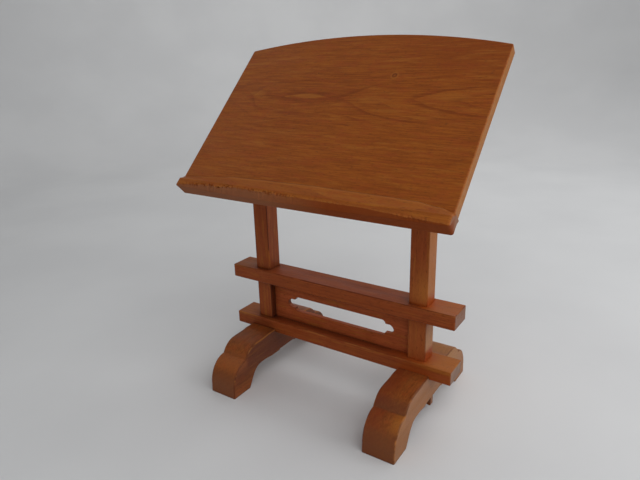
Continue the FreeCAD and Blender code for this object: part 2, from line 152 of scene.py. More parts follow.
class ShaderSketch:
    """Short calls that add nodes to one material and join them.

    A source is what an input reads: a socket, or a plain number, colour, place or direction.
    """

    # the places of the colours among the mix node's inputs, and of its answer among its outputs
    UNDER = 6
    OVER = 7
    MIXED = 2

    def __init__(self, name: str) -> None:
        """Starts an empty material.

        Args:
            name: The material's name.
        """
        self.material = bpy.data.materials.new(name)
        self.material.use_nodes = True
        self.tree = self.material.node_tree
        self.tree.nodes.clear()

    def node(self, kind: str, inputs: Inputs | None = None, **settings: object) -> bpy.types.Node:
        """Adds a node.

        Args:
            kind: Blender's name for the node, without the leading ShaderNode.
            inputs: A source for each input that gets one, by the input's place or name.
            settings: Values for the node's own properties.

        Returns:
            The new node.
        """
        made = self.tree.nodes.new("ShaderNode" + kind)
        for key, value in settings.items():
            setattr(made, key, value)
        for key, source in (inputs or {}).items():
            self.join(source, made.inputs[key])
        return made

    def join(self, source: object, target: Socket) -> None:
        """Links a socket to an input, or sets the input to a plain value.

        Args:
            source: What the input reads.
            target: The input.
        """
        if isinstance(source, Socket):
            self.tree.links.new(source, target)
        elif target.type == "RGBA":
            target.default_value = (*source, 1.0)
        else:
            target.default_value = source

    def maths(self, operation: str, first: object, *others: object) -> Socket:
        """Does a sum on one value, or on several in turn.

        Args:
            operation: Blender's name for the sum, such as MULTIPLY.
            first: A socket or a number.
            others: More of them, where the sum needs them.

        Returns:
            The socket that holds the answer.
        """
        if not others:
            return self.node("Math", {0: first}, operation=operation).outputs[0]
        for other in others:
            first = self.node("Math", {0: first, 1: other}, operation=operation).outputs[0]
        return first

    def product(self, *factors: object) -> Socket:
        """Multiplies sockets and numbers together."""
        return self.maths("MULTIPLY", *factors)

    def total(self, *terms: object) -> Socket:
        """Adds up sockets and numbers."""
        return self.maths("ADD", *terms)

    def minus(self, first: object, second: object) -> Socket:
        """Takes the second socket or number from the first."""
        return self.maths("SUBTRACT", first, second)

    def parts(self, vector: object) -> tuple[Socket, ...]:
        """Splits a place or a direction into its parts along X, Y and Z."""
        return tuple(self.node("SeparateXYZ", {0: vector}).outputs)

    def agreement(self, first: object, second: object) -> Socket:
        """How far two directions agree: 1 where they are the same, and 0 where they are square."""
        return self.node("VectorMath", {0: first, 1: second}, operation="DOT_PRODUCT").outputs["Value"]

    def place(self) -> Socket:
        """The place on the surface, in the frame."""
        return self.node("TexCoord").outputs["Object"]

    def facing(self) -> Socket:
        """The direction in which the surface faces."""
        return self.node("NewGeometry").outputs["Normal"]

    def openness(self, reach: float) -> Socket:
        """How open the surface is to all sides within a distance, from 0 to 1."""
        return self.node("AmbientOcclusion", {"Distance": reach}, samples=4).outputs["AO"]

    def ramp(self, value: object, span: Span, start: float = 0.0, end: float = 1.0) -> Socket:
        """Turns one span of values smoothly into another.

        Args:
            value: The socket to read.
            span: The value that gives start, and the value that gives end.
            start: The answer at the span's first value and before it.
            end: The answer at the span's second value and past it.

        Returns:
            The socket that holds the answer.
        """
        low, high = span
        inputs = {"Value": value, "From Min": low, "From Max": high, "To Min": start, "To Max": end}
        return self.node("MapRange", inputs, interpolation_type="SMOOTHSTEP").outputs[0]

    def grain(self, place: object, size: Point3, detail: float = 2.0, twist: float = 0.0) -> Socket:
        """Adds noise whose lumps have a given size along each axis.

        Args:
            place: The place to read the noise at, in metres.
            size: The lumps' length along X, Y and Z, in metres.
            detail: How many finer layers the noise has.
            twist: How far the noise is distorted.

        Returns:
            The socket that holds the noise, from 0 to 1.
        """
        lumps_per_metre = tuple(1.0 / length for length in size)
        scaled = self.node("VectorMath", {0: place, 1: lumps_per_metre}, operation="MULTIPLY")
        inputs = {"Vector": scaled.outputs[0], "Scale": 1.0, "Detail": detail, "Distortion": twist}
        return self.node("TexNoise", inputs, noise_dimensions="3D").outputs[0]

    def drift(self, value: Socket, size: float) -> Socket:
        """Adds noise that changes along a single value.

        Args:
            value: The socket to read the noise at.
            size: The length of the noise's swells, in the value's own unit.

        Returns:
            The socket that holds the noise, from 0 to 1.
        """
        inputs = {"W": value, "Scale": 1.0 / size, "Detail": 1.0}
        return self.node("TexNoise", inputs, noise_dimensions="1D").outputs[0]

    def sway(self, unevenness: Socket, width: float) -> Socket:
        """Turns noise into a sway to either side of nothing, of a given whole width."""
        return self.product(self.minus(unevenness, 0.5), width)

    def blend(self, amount: object, under: object, over: object) -> Socket:
        """Lays one colour over another.

        Args:
            amount: How much of the upper colour shows.
            under: The lower colour, or its socket.
            over: The upper colour, or its socket.

        Returns:
            The socket that holds the mixed colour.
        """
        inputs = {0: amount, self.UNDER: under, self.OVER: over}
        return self.node("Mix", inputs, data_type="RGBA", clamp_factor=True).outputs[self.MIXED]

    def lay(self, colour: object, coats: Iterable[Coat]) -> Socket:
        """Lays coats of colour one over another.

        Args:
            colour: The colour under them all, or its socket.
            coats: How much of each coat shows and its colour, the lowest coat first.

        Returns:
            The socket that holds the mixed colour.
        """
        for amount, coat in coats:
            colour = self.blend(amount, colour, coat)
        return colour

    def finished(self, inputs: Inputs) -> bpy.types.Material:
        """Ends the material with its shader.

        Args:
            inputs: A source for each of the shader's inputs that gets one, by its name.

        Returns:
            The finished material.
        """
        shader = self.node("BsdfPrincipled", inputs)
        self.node("OutputMaterial", {"Surface": shader.outputs[0]})
        return self.material


@dataclass(frozen=True)
class Unevenness:
    """Noise with lumps of one size, and the span of it over which what it stands for comes in."""

    size: Point3
    span: Span = (0.30, 0.70)
    detail: float = 3.0
    twist: float = 0.0

    def amount(self, sketch: ShaderSketch, place: Socket, least: float = 0.0, most: float = 1.0) -> Socket:
        """How strongly it shows from place to place.

        Args:
            sketch: The material being made.
            place: The place to read it at, in metres.
            least: The answer where it shows least.
            most: The answer where it shows most.

        Returns:
            The socket that holds the answer.
        """
        return sketch.ramp(sketch.grain(place, self.size, self.detail, self.twist), self.span, least, most)


@dataclass(frozen=True)
class LogHeart:
    """Where the log's heart runs under the board, which makes the arches of its cathedral figure."""

    # how far up the board the heart lies, and how far from it the bark is
    line: float = 0.139
    bark: float = 0.1031
    # half the width over which its depth is given, and a depth that it never reaches
    span: float = 0.200
    deepest: float = 0.060
    # how far the arches are drawn out to a point, and how narrow the point is
    point: float = 0.0020
    point_width: float = 0.0060
    # the year whose late growth is weak, how far off it the rings turn clear again, and how weak it is
    poor_year: float = 8.45
    poor_span: Span = (0.40, 0.56)
    poor_strength: float = 0.35
    # the years between which the rings turn distinct, and how distinct they are before
    outer_years: Span = (5.9, 6.0)
    outer_strength: float = 0.45
    # how far aside of the heart the rings turn faint, and how strong they still are there
    figure_reach: Span = (0.026, 0.062)
    far_strength: float = 0.30
    # depth under the board's face, at places across the board
    depths: tuple[Point2, ...] = (
        (-0.190, 0.0576), (-0.142, 0.0496), (-0.124, 0.0443), (-0.106, 0.0428), (-0.094, 0.0422),
        (-0.084, 0.0413), (-0.070, 0.0408), (-0.044, 0.0408), (-0.029, 0.0413), (-0.016, 0.0422),
        (-0.004, 0.0418), (0.049, 0.0330), (0.107, 0.0240), (0.162, 0.0160), (0.190, 0.0120),
    )

    def depth(self, sketch: ShaderSketch, across: Socket) -> Socket:
        """The heart's depth under the board's face.

        Args:
            sketch: The material being made.
            across: The place across the board.

        Returns:
            The socket that holds the depth, in metres.
        """
        share = sketch.node("MapRange", {"Value": across, "From Min": -self.span, "From Max": self.span})
        curve = sketch.node("FloatCurve", {"Value": share.outputs[0]})
        line = curve.mapping.curves[0]
        spots = [((x + self.span) / (2.0 * self.span), depth / self.deepest) for x, depth in self.depths]
        line.points[0].location = spots[0]
        line.points[1].location = spots[-1]
        for spot in spots[1:-1]:
            line.points.new(*spot)
        curve.mapping.update()
        return sketch.product(curve.outputs[0], self.deepest)

    def distance(self, sketch: ShaderSketch, place: Socket) -> Socket:
        """The distance in from the bark, drawn out to a point over the heart where the arches are pointed.

        Args:
            sketch: The material being made.
            place: The timber place.

        Returns:
            The socket that holds the distance, in metres.
        """
        across, up, through = sketch.parts(place)
        aside = sketch.minus(up, self.line)
        deep = sketch.minus(self.depth(sketch, across), through)
        radius = sketch.maths("SQRT", sketch.total(sketch.product(aside, aside), sketch.product(deep, deep)))
        away = sketch.maths("DIVIDE", sketch.maths("ABSOLUTE", aside), -self.point_width)
        point = sketch.product(sketch.maths("EXPONENT", away), self.point)
        return sketch.total(sketch.minus(self.bark, radius), point)

    def clearness(self, sketch: ShaderSketch, place: Socket, years: Socket) -> Socket:
        """How distinct the rings are: less in the poor year, in the outer years and far from the heart.

        Args:
            sketch: The material being made.
            place: The timber place.
            years: The year, counted from the bark inwards.

        Returns:
            The socket that holds the strength, from 0 to 1.
        """
        off_year = sketch.maths("ABSOLUTE", sketch.minus(years, self.poor_year))
        aside = sketch.maths("ABSOLUTE", sketch.minus(sketch.parts(place)[1], self.line))
        return sketch.product(
            sketch.ramp(off_year, self.poor_span, self.poor_strength, 1.0),
            sketch.ramp(years, self.outer_years, self.outer_strength, 1.0),
            sketch.ramp(aside, self.figure_reach, 1.0, self.far_strength),
        )


@dataclass(frozen=True)
class PinKnot:
    """The eye of a tiny knot in the board's face: a dark ring in a pale halo."""

    across: float
    up: float
    radius: float
    # where the ring and the halo come in and go out, in shares of the radius, and how strong each is
    bands: tuple[tuple[Span, Span, float], ...] = (
        ((0.25, 0.70), (1.15, 0.75), 0.55),
        ((0.95, 1.30), (2.10, 1.40), 0.35),
    )

    def marks(self, sketch: ShaderSketch, place: Socket) -> list[Socket]:
        """Where the knot darkens the wood, and where it makes it paler.

        Args:
            sketch: The material being made.
            place: The timber place.

        Returns:
            The sockets for the dark ring and the pale halo, each from 0 to its strength.
        """
        middle = (self.across, self.up, 0.0)
        away = sketch.node("VectorMath", {0: place, 1: middle}, operation="DISTANCE").outputs["Value"]
        share = sketch.maths("DIVIDE", away, self.radius)
        return [
            sketch.product(sketch.ramp(share, start), sketch.ramp(share, end, 0.0, strength))
            for start, end, strength in self.bands
        ]


@dataclass(frozen=True)
class ToneShift:
    """A change of colour over part of a piece: a tone, such as sapwood, and in some places painted shade and
    sheen.
    """

    strength: float
    tone: Colour = (0.375, 0.126, 0.0180)
    # the places along X, Y and Z between which the change comes in
    across: Span = EVERYWHERE
    depths: Span = EVERYWHERE
    heights: Span = EVERYWHERE
    # the heights between which it goes out again
    fade_heights: Span = NOWHERE

    def amount(self, sketch: ShaderSketch) -> Socket:
        """How far the wood has changed its tone.

        Args:
            sketch: The material being made.

        Returns:
            The socket that holds the amount, from 0 to the shift's strength.
        """
        places = sketch.parts(sketch.place())
        spans = (self.across, self.depths, self.heights)
        ramps = [sketch.ramp(part, span) for part, span in zip(places, spans)]
        return sketch.product(sketch.ramp(places[2], self.fade_heights, self.strength, 0.0), *ramps)


@dataclass(frozen=True)
class PalePatch:
    """A pale pointed patch of early growth, drawn out along the board's grain."""

    across: float
    up: float
    half_length: float
    half_height: float
    strength: float
    # from the patch's rim to where it shows in full, in shares of its halves
    edge: Span = (1.00, 0.40)

    def amount(self, sketch: ShaderSketch, place: Socket) -> Socket:
        """How far the patch lightens the wood.

        Args:
            sketch: The material being made.
            place: The timber place.

        Returns:
            The socket that holds the amount, from 0 to the patch's strength.
        """
        across, up, _ = sketch.parts(place)
        along = sketch.maths("DIVIDE", sketch.minus(across, self.across), self.half_length)
        above = sketch.maths("DIVIDE", sketch.minus(up, self.up), self.half_height)
        away = sketch.total(sketch.product(along, along), sketch.maths("ABSOLUTE", above))
        return sketch.ramp(away, self.edge, 0.0, self.strength)


@dataclass(frozen=True)
class WoodFinish:
    """Stained and varnished timber, cut from a solid log of rings, fibres and pores."""

    name: str
    way: GrainWay
    # the part of the log that the piece comes from
    seed: float

    # the stained timber's light and dark, and the tones that run through it
    light: Colour = (0.268, 0.070, 0.0110)
    dark: Colour = (0.160, 0.036, 0.0060)
    golden: Colour = (0.375, 0.126, 0.0180)
    ruddy: Colour = (0.290, 0.054, 0.0110)
    # the cut ends, which on some pieces carry painted light: paler and greyer as painted sheen where they
    # face the window, and darker as painted shade in the panel's slot
    end_grain_and_painted_light: Colour = (0.250, 0.095, 0.0350)
    # what use and time have made of it, from thin stain to dust in the joints, with painted light laid over
    # it:
    # painted highlights and shade on the arrises, and painted shade in the recesses and on the ledge's
    # underside
    worn: Colour = (0.400, 0.150, 0.0400)
    pooled_stain_and_shade: Colour = (0.040, 0.009, 0.0055)
    arris_stain_and_shade: Colour = (0.085, 0.018, 0.0095)
    soiled: Colour = (0.195, 0.034, 0.0065)
    dulled: Colour = (0.235, 0.090, 0.0470)
    grime: Colour = (0.030, 0.008, 0.0035)

    figure: Figure = Figure.STRAIGHT
    heart: LogHeart = LogHeart()
    ring_pitch: float = 0.0046
    ring_lean: float = 0.55
    ring_strength: float = 0.34
    ring_wander: float = 0.0085
    ring_drift: float = 1.5
    ring_ripple: float = 0.0014
    # the share of each year that has passed when its late growth starts
    late_growth: float = 0.15
    # how strong the late growth is in poor years
    poor_years: float = 0.25
    mottle_strength: float = 0.10
    fleck_strength: float = 0.55
    streak_strength: float = 0.22
    streak_size: Point3 = (0.090, 0.0019, 0.0022)
    tones: tuple[ToneShift, ...] = ()
    knots: tuple[PinKnot, ...] = ()
    pale_patches: tuple[PalePatch, ...] = ()
    # painted warm light in the recesses, laid as a red tone over their painted shade where it is given
    glow: ToneShift = ToneShift(0.0)

    # how strongly the arrises are rubbed pale with painted highlights, and darkened with stain and painted
    # shade
    edge_wear_and_highlight: float = 0.40
    edge_stain_and_shade: float = 0.30
    grime_strength: float = 0.70
    # how strongly painted shade darkens the recesses
    recess_shade_strength: float = 0.0
    # whether the piece is square to the frame, so that every slanted facet on it is an arris
    is_square: bool = False
    # the heights between which the rubbing and the painted highlights of its arrises come in
    rub_heights: Span = EVERYWHERE

    sheen: Colour = (1.0, 0.62, 0.36)
    coat: float = 0.06
    specular: float = 0.30
    roughness_low: float = 0.38
    roughness_high: float = 0.52

    def make(self) -> bpy.types.Material:
        """Builds the whole material."""
        return WoodShader(self).make()


class WoodShader(ShaderSketch):
    """The material of one wood finish: the log's figure, the stain and wear over it, painted shade and light,
    and the varnish.
    """

    # how far a piece is moved through the log, along each axis, for each unit of its seed
    SEED_WAY = (1.0, 1.7, 0.6)
    WANDER_SIZE = (0.150, 0.028, 0.028)
    RIPPLE_SIZE = (0.022, 0.005, 0.005)
    # over how many years the rings' width swells, how long a run of good or poor years is, and the noise
    # between which poor years turn good
    DRIFT_YEARS = 2.6
    RUN_YEARS = 1.3
    GOOD_YEARS = (0.34, 0.60)
    # the share of a year that has passed when late growth is full, and those between which it stops
    LATE_FULL = 0.86
    LATE_STOP = (0.88, 0.93)
    UNEVEN_RINGS = Unevenness((0.120, 0.016, 0.016), (0.30, 0.58))
    FAINTEST_RINGS = 0.25

    STREAK_SPAN = (0.32, 0.68)
    FIBRES = Unevenness((0.026, 0.00070, 0.00070))
    FIBRE_STRENGTH = 0.28
    CLOUDS = Unevenness((0.120, 0.050, 0.050), detail=2.0)
    CLOUD_STRENGTH = 0.16
    MOTTLES = Unevenness((0.0090, 0.0030, 0.0030), (0.40, 0.66), detail=4.0, twist=0.6)
    BLOTCHES = Unevenness((0.0200, 0.0070, 0.0070), (0.48, 0.62))
    BLOTCH_STRENGTH = 0.34
    FLECKS = Unevenness((0.036, 0.0040, 0.0040), (0.50, 0.74))
    PORES = Unevenness((0.0060, 0.00060, 0.00060), (0.60, 0.72), detail=1.0)
    PORE_STRENGTH = 0.50
    # how squarely the fibres meet the surface where its end grain starts to show, and shows in full
    END_FACING = (0.72, 0.97)
    END_STRENGTH = 0.65

    ARRIS_RADIUS = 0.0015
    # how far the rounded surface agrees with the flat one, from beside an arris to its middle
    ARRIS_AGREEMENT = (0.999, 0.93)
    # the product of a facet's two ways of facing, from a side of the stand to a slanted arris
    FACET_TURN = (0.06, 0.30)
    # the size of the patches along an arris, and the noise between which they are rubbed pale with painted
    # highlights, and darkened with stain and painted shade
    ARRIS_PATCHES = (0.045, 0.0120, 0.0120)
    LIGHT_ARRIS_PATCHES = (0.46, 0.60)
    DARK_ARRIS_PATCHES = (0.62, 0.50)
    # how near the walls of a joint or a corner are, and how open it is from its rim to its bottom
    GRIME_REACH = 0.0036
    GRIME_OPENNESS = (0.80, 0.48)
    # the wider reach over which recesses are darkened with painted shade
    RECESS_REACH = 0.0200
    RECESS_OPENNESS = (0.88, 0.55)

    GLOSS = Unevenness((0.060, 0.012, 0.012), detail=4.0)
    WORN_ROUGHNESS = 0.30
    COAT_ROUGHNESS = 0.30
    VARNISH_IOR = 1.5
    FIBRE_RELIEF = 0.35
    RING_RELIEF = 0.25
    RELIEF_STRENGTH = 0.22
    RELIEF_DEPTH = 0.00025

    def __init__(self, finish: WoodFinish) -> None:
        """Starts the material, and lays out the timber and its rings.

        Args:
            finish: The finish to make.
        """
        super().__init__(finish.name)
        self.finish = finish
        self.timber = self.timber_place()
        moved = tuple(finish.seed * part for part in self.SEED_WAY)
        self.log = self.node("VectorMath", {0: self.timber, 1: moved}, operation="ADD").outputs[0]
        self.rings = self.late_growth()

    def timber_place(self) -> Socket:
        """The place in the timber, with the fibres along X.

        Returns:
            The socket that holds the place, in metres.
        """
        way = self.finish.way
        inputs = {"Vector": self.place(), "Rotation": way.value}
        if way.is_on_desk():
            inputs["Location"] = -(way.turn() @ Vector((0.0, LEDGE_JOINT_Y, LEDGE_JOINT_Z)))
        return self.node("Mapping", inputs, vector_type="POINT").outputs[0]

    def ring_distance(self) -> Socket:
        """The distance in from the bark, or along the log's radius, with a natural wander.

        Returns:
            The socket that holds the distance, in metres.
        """
        finish = self.finish
        if finish.figure is Figure.CATHEDRAL:
            distance = finish.heart.distance(self, self.timber)
        else:
            _, across, through = self.parts(self.timber)
            lean = finish.ring_lean
            distance = self.total(self.product(across, math.cos(lean)), self.product(through, math.sin(lean)))
        wander = self.sway(self.grain(self.log, self.WANDER_SIZE), finish.ring_wander)
        ripple = self.sway(self.grain(self.log, self.RIPPLE_SIZE), finish.ring_ripple)
        return self.total(distance, wander, ripple)

    def late_growth(self) -> Socket:
        """How far the wood is into each ring's dark late growth, weaker in some years and some stretches.

        Returns:
            The socket that holds the growth, from 0 to 1.
        """
        finish = self.finish
        years = self.maths("DIVIDE", self.ring_distance(), finish.ring_pitch)
        years = self.total(years, self.sway(self.drift(years, self.DRIFT_YEARS), finish.ring_drift))
        turn = self.maths("FRACT", years)
        growth = self.product(
            self.ramp(turn, (finish.late_growth, self.LATE_FULL)),
            self.ramp(turn, self.LATE_STOP, 1.0, 0.0),
            self.ramp(self.drift(years, self.RUN_YEARS), self.GOOD_YEARS, finish.poor_years, 1.0),
            self.UNEVEN_RINGS.amount(self, self.log, least=self.FAINTEST_RINGS),
        )
        if finish.figure is Figure.CATHEDRAL:
            return self.product(growth, finish.heart.clearness(self, self.timber, years))
        return growth

    def trait(self, unevenness: Unevenness, strength: float = 1.0) -> Socket:
        """How strongly one of the log's traits shows, from 0 to its strength."""
        return unevenness.amount(self, self.log, most=strength)

    def ends(self) -> Socket:
        """Where the fibres are cut across, from 0 to 1."""
        along = self.agreement(self.facing(), self.finish.way.axis())
        return self.ramp(self.maths("ABSOLUTE", along), self.END_FACING)

    def rounding(self) -> Socket:
        """The surface's direction, with every arris slightly rounded."""
        return self.node("Bevel", {"Radius": self.ARRIS_RADIUS}, samples=4).outputs[0]

    def facets(self) -> Socket:
        """Where the surface is turned between two of the stand's sides, as on an arris.

        Returns:
            The socket that holds the amount, from 0 to 1.
        """
        across, away, upward = (self.maths("ABSOLUTE", part) for part in self.parts(self.facing()))
        turned = self.product(across, self.maths("MAXIMUM", away, upward))
        if self.finish.is_square:
            turned = self.maths("MAXIMUM", turned, self.product(away, upward))
        return self.ramp(turned, self.FACET_TURN)

    def arrises(self) -> tuple[Socket, Socket]:
        """Where the arrises are rubbed pale with painted highlights, and darkened with stain and painted
        shade.

        Returns:
            The sockets for the pale and the dark stretches, from 0 to the edges' wear and highlight and their
            stain and shade.
        """
        rounded = self.ramp(self.agreement(self.rounding(), self.facing()), self.ARRIS_AGREEMENT)
        arris = self.maths("MAXIMUM", rounded, self.facets())
        patches = self.grain(self.log, self.ARRIS_PATCHES, detail=4.0)
        rubbed = self.ramp(patches, self.LIGHT_ARRIS_PATCHES, 0.0, self.finish.edge_wear_and_highlight)
        pooled_stain_and_shade = self.ramp(patches, self.DARK_ARRIS_PATCHES, 0.0, self.finish.edge_stain_and_shade)
        above = self.ramp(self.parts(self.place())[2], self.finish.rub_heights)
        return self.product(arris, rubbed, above), self.product(arris, pooled_stain_and_shade)

    def marked(self, mark: Mark) -> Socket:
        """Where a mesh carries one kind of mark, from 0 to 1."""
        return self.node("Attribute", attribute_type="GEOMETRY", attribute_name=mark.value).outputs["Fac"]

    def timber_coats(self) -> list[Coat]:
        """The timber's own colours over its light one, from its rings and fibres to its end grain.

        Returns:
            How much of each coat shows and its colour, the lowest first.
        """
        finish = self.finish
        shade = self.total(
            self.product(self.rings, finish.ring_strength),
            self.trait(Unevenness(finish.streak_size, self.STREAK_SPAN, detail=4.0), finish.streak_strength),
            self.trait(self.FIBRES, self.FIBRE_STRENGTH),
            self.trait(self.CLOUDS, self.CLOUD_STRENGTH),
            self.trait(self.MOTTLES, finish.mottle_strength),
        )
        coats = [(shade, finish.dark), (self.trait(self.BLOTCHES, self.BLOTCH_STRENGTH), finish.ruddy)]
        coats += [(shift.amount(self), shift.tone) for shift in finish.tones]
        flecks = self.product(self.trait(self.FLECKS, finish.fleck_strength), self.minus(1.0, self.rings))
        coats += [(flecks, finish.golden), (self.trait(self.PORES, self.PORE_STRENGTH), finish.grime)]
        coats += [(patch.amount(self, self.timber), finish.golden) for patch in finish.pale_patches]
        for knot in finish.knots:
            coats += zip(knot.marks(self, self.timber), (finish.pooled_stain_and_shade, finish.golden))
        # the cut ends' colour, which on some pieces is a painted sheen and in the panel's slot a painted
        # shade
        return coats + [(self.product(self.ends(), self.END_STRENGTH), finish.end_grain_and_painted_light)]

    def wear_coats(self, wear: Socket, pooled_stain_and_shade: Socket) -> list[Coat]:
        """What use and time have laid over the stained timber, and the painted shade and light laid with it.

        Args:
            wear: Where the stain is rubbed thin, and where the arrises carry painted highlights.
            pooled_stain_and_shade: Where stain has gathered along the arrises, with painted shade.

        Returns:
            How much of each coat shows and its colour, the lowest first.
        """
        finish = self.finish
        # on the ledge, the worn underside darkened with hand grime and painted shade, and the dull, greyer
        # stretch
        coats = [(self.marked(Mark.SOILED), finish.soiled), (self.marked(Mark.DULLED), finish.dulled)]
        # painted shade: surfaces near a wall, in recesses and under rails, are darkened
        recesses = self.ramp(self.openness(self.RECESS_REACH), self.RECESS_OPENNESS)
        if finish.recess_shade_strength > 0.0:
            coats.append((self.product(recesses, finish.recess_shade_strength), finish.pooled_stain_and_shade))
        crevices = self.ramp(self.openness(self.GRIME_REACH), self.GRIME_OPENNESS, 0.0, finish.grime_strength)
        # along the arrises, stain with painted shade and rubbing with painted highlights, then dust in the
        # joints
        coats += [(pooled_stain_and_shade, finish.arris_stain_and_shade), (wear, finish.worn), (crevices, finish.grime)]
        # painted warm light: a red tone laid in the recesses where the piece's glow is given
        if finish.glow.strength > 0.0:
            coats.append((self.product(recesses, finish.glow.amount(self)), finish.glow.tone))
        return coats

    def gloss(self, wear: Socket) -> Socket:
        """The roughness, which is patchy under the varnish and higher where that is worn, and over the
        ledge's dull and darkened stretches.

        Args:
            wear: Where the stain is rubbed thin, and where the arrises carry painted highlights.

        Returns:
            The socket that holds the roughness.
        """
        finish = self.finish
        matt = self.maths("MAXIMUM", wear, self.total(self.marked(Mark.SOILED), self.marked(Mark.DULLED)))
        even = self.GLOSS.amount(self, self.log, finish.roughness_low, finish.roughness_high)
        return self.total(even, self.product(matt, self.WORN_ROUGHNESS))

    def relief(self) -> Socket:
        """The slight relief of pores, fibres and rings, over the rounded arrises.

        Returns:
            The socket that holds the surface's direction.
        """
        fibres = self.product(self.grain(self.log, self.FIBRES.size), self.FIBRE_RELIEF)
        rings = self.product(self.rings, self.RING_RELIEF)
        inputs = {
            "Strength": self.RELIEF_STRENGTH,
            "Distance": self.RELIEF_DEPTH,
            "Height": self.total(self.minus(fibres, self.trait(self.PORES)), rings),
            "Normal": self.rounding(),
        }
        return self.node("Bump", inputs).outputs[0]

    def make(self) -> bpy.types.Material:
        """Builds the whole material.

        Returns:
            The finished material.
        """
        rubbed, pooled_stain_and_shade = self.arrises()
        wear = self.maths("MAXIMUM", rubbed, self.marked(Mark.RUBBED))
        timber = self.lay(self.finish.light, self.timber_coats())
        inputs = {
            "Base Color": self.lay(timber, self.wear_coats(wear, pooled_stain_and_shade)),
            "Roughness": self.gloss(wear),
            "Normal": self.relief(),
            "IOR": self.VARNISH_IOR,
            "Specular IOR Level": self.finish.specular,
            "Specular Tint": self.finish.sheen,
            "Coat Weight": self.finish.coat,
            "Coat Roughness": self.COAT_ROUGHNESS,
        }
        return self.finished(inputs)


@dataclass(frozen=True)
class SteelFinish:
    """Plated steel with the fine turning marks of a screw's head."""

    name: str
    bright: Colour = (0.56, 0.53, 0.47)
    dull: Colour = (0.30, 0.26, 0.20)
    tarnish: Unevenness = Unevenness((0.003, 0.003, 0.003), (0.42, 0.66), detail=5.0)
    turning: Unevenness = Unevenness((0.0040, 0.00012, 0.00012), detail=2.0)
    roughness_low: float = 0.26
    roughness_high: float = 0.46

    def make(self) -> bpy.types.Material:
        """Builds the whole material.

        Returns:
            The finished material.
        """
        sketch = ShaderSketch(self.name)
        place = sketch.place()
        inputs = {
            "Metallic": 1.0,
            "Base Color": sketch.blend(self.tarnish.amount(sketch, place), self.bright, self.dull),
            "Roughness": self.turning.amount(sketch, place, self.roughness_low, self.roughness_high),
        }
        return sketch.finished(inputs)


def dress(node: str, finish: WoodFinish | SteelFinish) -> None:
    """Gives one construction node a finish.

    Args:
        node: The node's name.
        finish: The finish to give it.
    """
    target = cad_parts[node]
    target.data.materials.clear()
    target.data.materials.append(finish.make())
    LOG.info("dressed %s with %s", node, finish.name)


